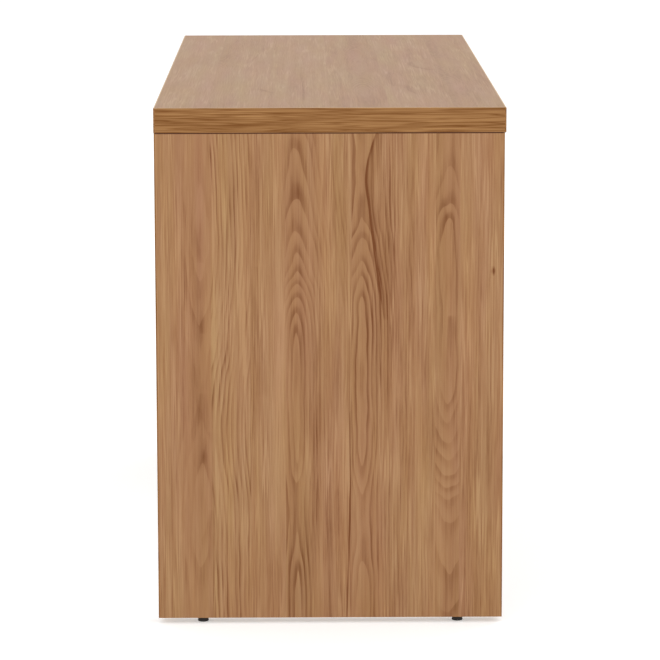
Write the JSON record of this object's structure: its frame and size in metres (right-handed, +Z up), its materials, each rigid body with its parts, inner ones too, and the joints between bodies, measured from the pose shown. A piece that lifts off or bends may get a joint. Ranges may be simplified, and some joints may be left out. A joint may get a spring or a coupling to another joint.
{
  "type": "office desk",
  "caption": "Office desk with a thick banded top on full-depth panel ends, a modesty panel between them, cam-locked joints and screw feet.",
  "frame": {"origin": "on the floor, midway along and midway across the desk", "axes": "+X along the desk to the user's right, +Y from the user's side to the back, +Z up"},
  "size_m": [1.3, 0.5, 0.75],
  "materials": {
    "top_laminate": "satin",
    "end_laminate": "satin",
    "modesty_laminate": "satin",
    "edge_band": "satin",
    "cam_metal": "nickel plated",
    "bolt_metal": "zinc plated",
    "dowel_wood": "bare",
    "foot_plastic": "matte",
    "stem_metal": "zinc plated",
    "insert_metal": "zinc plated"
  },
  "bodies": {
    "desk": {"top_board": "top_laminate", "top_band_front": "edge_band", "top_band_back": "edge_band", "top_band_left": "edge_band", "top_band_right": "edge_band", "left_end_board": "end_laminate", "left_end_band_front": "edge_band", "left_end_band_back": "edge_band", "right_end_board": "end_laminate", "right_end_band_front": "edge_band", "right_end_band_back": "edge_band", "modesty_board": "modesty_laminate", "modesty_band_bottom": "edge_band", "cam_bolts": "bolt_metal", "wood_dowels": "dowel_wood", "foot_inserts": "insert_metal"},
    "cam_left_front": {"cam_left_front": "cam_metal"},
    "cam_left_back": {"cam_left_back": "cam_metal"},
    "cam_left_modesty": {"cam_left_modesty": "cam_metal"},
    "cam_right_front": {"cam_right_front": "cam_metal"},
    "cam_right_back": {"cam_right_back": "cam_metal"},
    "cam_right_modesty": {"cam_right_modesty": "cam_metal"},
    "foot_pad_left_front": {"foot_pad_left_front": "foot_plastic"},
    "foot_stem_left_front": {"foot_stem_left_front": "stem_metal"},
    "foot_pad_left_back": {"foot_pad_left_back": "foot_plastic"},
    "foot_stem_left_back": {"foot_stem_left_back": "stem_metal"},
    "foot_pad_right_front": {"foot_pad_right_front": "foot_plastic"},
    "foot_stem_right_front": {"foot_stem_right_front": "stem_metal"},
    "foot_pad_right_back": {"foot_pad_right_back": "foot_plastic"},
    "foot_stem_right_back": {"foot_stem_right_back": "stem_metal"}
  },
  "joints": [
    {"name": "left_front_cam_turn", "type": "hinge", "parent": "desk", "child": "cam_left_front", "pos_m": [-0.6135, -0.188, 0.68], "axis": [1, 0, 0], "range_deg": [0, 180]},
    {"name": "left_back_cam_turn", "type": "hinge", "parent": "desk", "child": "cam_left_back", "pos_m": [-0.6135, 0.1465, 0.68], "axis": [1, 0, 0], "range_deg": [0, 180]},
    {"name": "left_modesty_cam_turn", "type": "hinge", "parent": "desk", "child": "cam_left_modesty", "pos_m": [-0.5795, 0.1915, 0.596], "axis": [0, -1, 0], "range_deg": [0, 180]},
    {"name": "right_front_cam_turn", "type": "hinge", "parent": "desk", "child": "cam_right_front", "pos_m": [0.6135, -0.188, 0.68], "axis": [-1, 0, 0], "range_deg": [0, 180]},
    {"name": "right_back_cam_turn", "type": "hinge", "parent": "desk", "child": "cam_right_back", "pos_m": [0.6135, 0.1465, 0.68], "axis": [-1, 0, 0], "range_deg": [0, 180]},
    {"name": "right_modesty_cam_turn", "type": "hinge", "parent": "desk", "child": "cam_right_modesty", "pos_m": [0.5795, 0.1915, 0.596], "axis": [0, -1, 0], "range_deg": [0, 180]},
    {"name": "left_front_foot_height", "type": "slide", "parent": "desk", "child": "foot_pad_left_front", "axis": [0, 0, -1], "range_m": [0, 0.012]},
    {"name": "left_front_foot_screw", "type": "hinge", "parent": "foot_pad_left_front", "child": "foot_stem_left_front", "pos_m": [-0.6315, -0.184, 0.005], "axis": [0, 0, -1], "range_deg": [0, 4320]},
    {"name": "left_back_foot_height", "type": "slide", "parent": "desk", "child": "foot_pad_left_back", "axis": [0, 0, -1], "range_m": [0, 0.012]},
    {"name": "left_back_foot_screw", "type": "hinge", "parent": "foot_pad_left_back", "child": "foot_stem_left_back", "pos_m": [-0.6315, 0.1855, 0.005], "axis": [0, 0, -1], "range_deg": [0, 4320]},
    {"name": "right_front_foot_height", "type": "slide", "parent": "desk", "child": "foot_pad_right_front", "axis": [0, 0, -1], "range_m": [0, 0.012]},
    {"name": "right_front_foot_screw", "type": "hinge", "parent": "foot_pad_right_front", "child": "foot_stem_right_front", "pos_m": [0.6315, -0.184, 0.005], "axis": [0, 0, -1], "range_deg": [0, 4320]},
    {"name": "right_back_foot_height", "type": "slide", "parent": "desk", "child": "foot_pad_right_back", "axis": [0, 0, -1], "range_m": [0, 0.012]},
    {"name": "right_back_foot_screw", "type": "hinge", "parent": "foot_pad_right_back", "child": "foot_stem_right_back", "pos_m": [0.6315, 0.1855, 0.005], "axis": [0, 0, -1], "range_deg": [0, 4320]}
  ],
  "couplings": [
    {"joint": "left_front_foot_screw", "follows": "left_front_foot_height", "rad_per_m": 6283.2},
    {"joint": "left_back_foot_screw", "follows": "left_back_foot_height", "rad_per_m": 6283.2},
    {"joint": "right_front_foot_screw", "follows": "right_front_foot_height", "rad_per_m": 6283.2},
    {"joint": "right_back_foot_screw", "follows": "right_back_foot_height", "rad_per_m": 6283.2}
  ]
}
